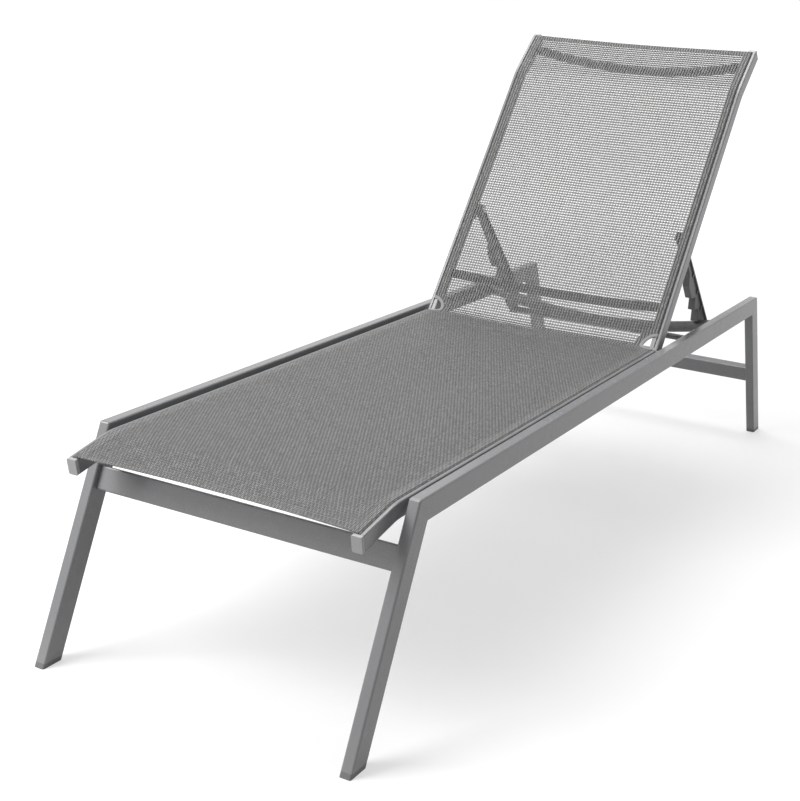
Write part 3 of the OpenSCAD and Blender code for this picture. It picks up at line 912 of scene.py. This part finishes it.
    def sheet(self, name: str, thickness: float, raised: float) -> bpy.types.Object:
        """Builds the cloth as a closed shell: its middle surface moved out and in by half its thickness.

        Args:
            name: the piece's name.
            thickness: the cloth's thickness.
            raised: share of the hem's and the binding's extra thickness that the piece takes.

        Returns:
            The piece.
        """
        along, shares = self.stations()
        across = shares[None, :] * self.half_at(along)[:, None]
        length, end = self.cut(np.repeat(along[:, None], len(shares), axis=1), across)
        middle, normal = self.middle(along, length, across)
        side, notch = self.edge_distance(length.ravel(), across.ravel())
        half = thickness / 2 + self.extra(side, notch).reshape(*across.shape, 1) * raised
        points = np.concatenate([middle + normal * half, middle - normal * half]).reshape(-1, 3)
        mesh = bpy.data.meshes.new(name)
        mesh.from_pydata(points.tolist(), [], self.faces(*across.shape).tolist())
        self.write(mesh, "side_distance", side)
        self.write(mesh, "end_distance", end.ravel())
        self.write(mesh, "notch_distance", notch)
        self.unfold(mesh, across, length)
        mesh.shade_smooth()
        mesh.set_sharp_from_angle(angle=self.sharp)
        piece = bpy.data.objects.new(name, mesh)
        bpy.context.scene.collection.objects.link(piece)
        return piece

    def middle(
        self, along: np.ndarray, length: np.ndarray, across: np.ndarray
    ) -> tuple[np.ndarray, np.ndarray]:
        """The middle surface: the section stands square to the path, lowered by the sag.

        Args:
            along: the row's lengths from the foot end, before the ends are cut hollow.
            length: each point's length from the foot end.
            across: each point's length from the middle line.

        Returns:
            The points, and their normals from the cross product of the two directions.
        """
        y, z, heading = self.path(length)
        x, height = self.section(across)
        height = height - self.sag_at(length, x) + self.wrinkles(length, x)
        middle = np.stack([x, y - height * np.sin(heading), z + height * np.cos(heading)], axis=-1)
        normal = np.cross(np.gradient(middle, axis=1), np.gradient(middle, along, axis=0))
        return middle, normal / np.linalg.norm(normal, axis=-1, keepdims=True)

    def extra(self, side: np.ndarray, notch: np.ndarray) -> np.ndarray:
        """Extra half thickness of the binding and of the hem, which is folded double.

        The binding's height is (1 - (1 - b)^2)^0.5, where b is 1 in its middle and 0 at its edges, and the
        hem's is a short ramp.
        """
        band = np.clip(1.0 - np.abs(notch / self.binding_width - 0.5) * 2, 0.0, 1.0)
        band = np.sqrt(np.clip(1 - (1 - band) ** 2, 0.0, 1.0)) * (notch < self.binding_width)
        hem = np.clip((self.hem_width - side) / self.hem_step, 0.0, 1.0) * (side > self.hem_clear)
        return band * self.binding_rise + hem * self.hem_rise

    def faces(self, rows: int, columns: int) -> np.ndarray:
        """Quads of a closed shell: the upper grid, the lower grid turned over, and a wall round both."""
        grid = np.arange(rows * columns).reshape(rows, columns)
        corners = [grid[:-1, :-1], grid[:-1, 1:], grid[1:, 1:], grid[1:, :-1]]
        quad = np.stack(corners, axis=-1).reshape(-1, 4)
        border = np.concatenate([grid[0, :-1], grid[:-1, -1], grid[-1, :0:-1], grid[:0:-1, 0]])
        ahead = np.roll(border, -1)
        wall = np.stack([ahead, border, border + grid.size, ahead + grid.size], axis=-1)
        return np.concatenate([quad, quad[:, ::-1] + grid.size, wall])

    def write(self, mesh: bpy.types.Mesh, name: str, values: np.ndarray) -> None:
        """Stores one number for each point of both faces of the cloth."""
        attribute = mesh.attributes.new(name, "FLOAT", "POINT")
        attribute.data.foreach_set("value", np.tile(values, 2).astype(np.float32))

    def unfold(self, mesh: bpy.types.Mesh, across: np.ndarray, length: np.ndarray) -> None:
        """Stores each corner's place on the flat cloth, in metres, as the UV map that the weave reads."""
        corners = np.empty(len(mesh.loops), np.int32)
        mesh.loops.foreach_get("vertex_index", corners)
        flat = np.stack([across.ravel(), length.ravel()], axis=-1)
        layer = mesh.uv_layers.new(name="cloth")
        layer.data.foreach_set("uv", flat[corners % across.size].astype(np.float32).ravel())

    def build(self) -> None:
        """Builds the cloth and its inner layer, and hangs both across the hinge."""
        cloth = SlingCloth("sling_mesh", self.crease).material()
        outer = self.sheet("sling", self.thickness, 1.0)
        core = self.sheet("sling_core", self.core_thickness, 0.0)
        y, z, _ = self.path(self.crease + np.array([-self.blend_reach, self.blend_reach]))
        for piece in (outer, core):
            piece.data.materials.append(cloth)
            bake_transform(piece)
            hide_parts("seat_sling", "back_sling")
            log.info("%s: %d faces", piece.name, len(piece.data.polygons))
        2 * self.half_width
        self.length


# Studio


@dataclass
class Studio:
    """Plain pale floor, three soft lights, the strongest at the upper front left, and the camera."""

    floor_radius: float = 30.0
    floor_points: int = 96
    floor_glow: tuple[float, float] = (0.54, 1.0)
    floor_glow_reach: tuple[float, float] = (1.6, 4.5)
    floor_grey: Colour = (0.5, 0.5, 0.5)
    camera_place: Place = (1.2140, -2.5624, 1.1326)
    azimuth: float = math.radians(28.956)
    elevation: float = math.radians(17.272)
    roll: float = math.radians(2.865)
    focal: float = 65.27
    sensor: float = 36.0
    world_level: float = 0.33
    lamp_size: float = 2.0
    key_power: float = 120.0
    key_place: Place = (-1.9, -2.3, 2.9)
    low_power: float = 9.0
    low_place: Place = (-1.5, -2.5, 0.9)
    top_power: float = 70.0
    top_place: Place = (-0.5, 0.6, 3.3)
    aim: Place = (0.0, 0.0, 0.35)

    def camera(self) -> None:
        """Sets the camera: it looks along its azimuth and elevation, then rolls about that line."""
        a, e, roll = self.azimuth, self.elevation, self.roll
        ahead = Vector((-math.sin(a) * math.cos(e), math.cos(a) * math.cos(e), -math.sin(e)))
        level = Vector((math.cos(a), math.sin(a), 0.0))
        upright = level.cross(ahead)
        right = level * math.cos(roll) + upright * math.sin(roll)
        up = upright * math.cos(roll) - level * math.sin(roll)
        lens = bpy.data.cameras.new("camera")
        lens.sensor_width = self.sensor
        lens.lens = self.focal
        eye = bpy.data.objects.new("camera", lens)
        turn = Matrix((right, up, -ahead)).transposed().to_4x4()
        eye.matrix_world = Matrix.Translation(Vector(self.camera_place)) @ turn
        bpy.context.scene.collection.objects.link(eye)
        bpy.context.scene.camera = eye

    def panel(self, name: str, place: Place, power: float) -> None:
        """Adds a square soft light that faces the seat.

        Args:
            name: the lamp's name.
            place: where its middle is.
            power: its power, in watts.
        """
        lamp = bpy.data.lights.new(name, "AREA")
        lamp.shape = "SQUARE"
        lamp.size = self.lamp_size
        lamp.energy = power
        lit = bpy.data.objects.new(name, lamp)
        turn = (Vector(self.aim) - Vector(place)).to_track_quat("-Z", "Y")
        lit.matrix_world = Matrix.Translation(Vector(place)) @ turn.to_matrix().to_4x4()
        bpy.context.scene.collection.objects.link(lit)

    def seen_white(self, shader: Shader) -> Socket:
        """1 for rays from the camera and from glossy or clear surfaces, and 0 for light that falls."""
        rays = shader.node("LightPath")
        kinds = ("Is Camera Ray", "Is Glossy Ray", "Is Transmission Ray")
        camera, glossy, through = (Socket(shader, rays.outputs[kind]) for kind in kinds)
        return camera.maths("MAXIMUM", glossy).maths("MAXIMUM", through)

    def floor(self) -> None:
        """Adds a round floor whose own colour is white to the camera and that keeps the object's shadow."""
        turn = np.linspace(0.0, 2 * math.pi, self.floor_points, endpoint=False)
        rim = np.stack([np.cos(turn), np.sin(turn), np.zeros_like(turn)], axis=-1) * self.floor_radius
        mesh = bpy.data.meshes.new("floor")
        mesh.from_pydata(rim.tolist(), [], [list(range(len(turn)))])
        ground = bpy.data.objects.new("floor", mesh)
        bpy.context.scene.collection.objects.link(ground)
        shader = Shader.named("floor")
        matt = shader.out("BsdfDiffuse", 0, values={"Color": rgba(self.floor_grey)})
        away = shader.out("VectorMath", "Value", {"operation": "LENGTH"}, {0: shader.place()})
        level = shader.fit(away, *self.floor_glow_reach, *self.floor_glow) * self.seen_white(shader)
        glow = shader.out("Emission", 0, values={"Color": shader.grey(level), "Strength": 1.0})
        both = shader.out("AddShader", 0, values={0: matt, 1: glow})
        shader.node("OutputMaterial", values={"Surface": both})
        mesh.materials.append(shader.owner)

    def world(self) -> None:
        """Makes the surroundings white to the camera and an even soft light for the rest."""
        surroundings = bpy.data.worlds.new("surroundings")
        bpy.context.scene.world = surroundings
        shader = Shader(surroundings)
        level = self.seen_white(shader) * (1.0 - self.world_level) + self.world_level
        lit = shader.out("Background", 0, values={"Color": shader.grey(level), "Strength": 1.0})
        shader.node("OutputWorld", values={"Surface": lit})

    def build(self) -> None:
        """Sets up the camera, the floor, the surroundings and the lights."""
        bpy.context.scene.view_settings.view_transform = "Standard"
        self.camera()
        self.floor()
        self.world()
        self.panel("key", self.key_place, self.key_power)
        self.panel("low", self.low_place, self.low_power)
        self.panel("top", self.top_place, self.top_power)
        log.info("studio: camera and lights set")


def main() -> None:
    """Builds the lounger's sub-assemblies in order, then the studio."""
    logging.basicConfig(level=logging.INFO, format="%(name)s: %(message)s")
    for assembly in (SideFrames(), SeatDeck(), Backrest(), SupportArms(), Sling(), Studio()):
        assembly.build()


if __name__ == "__main__":
    main()
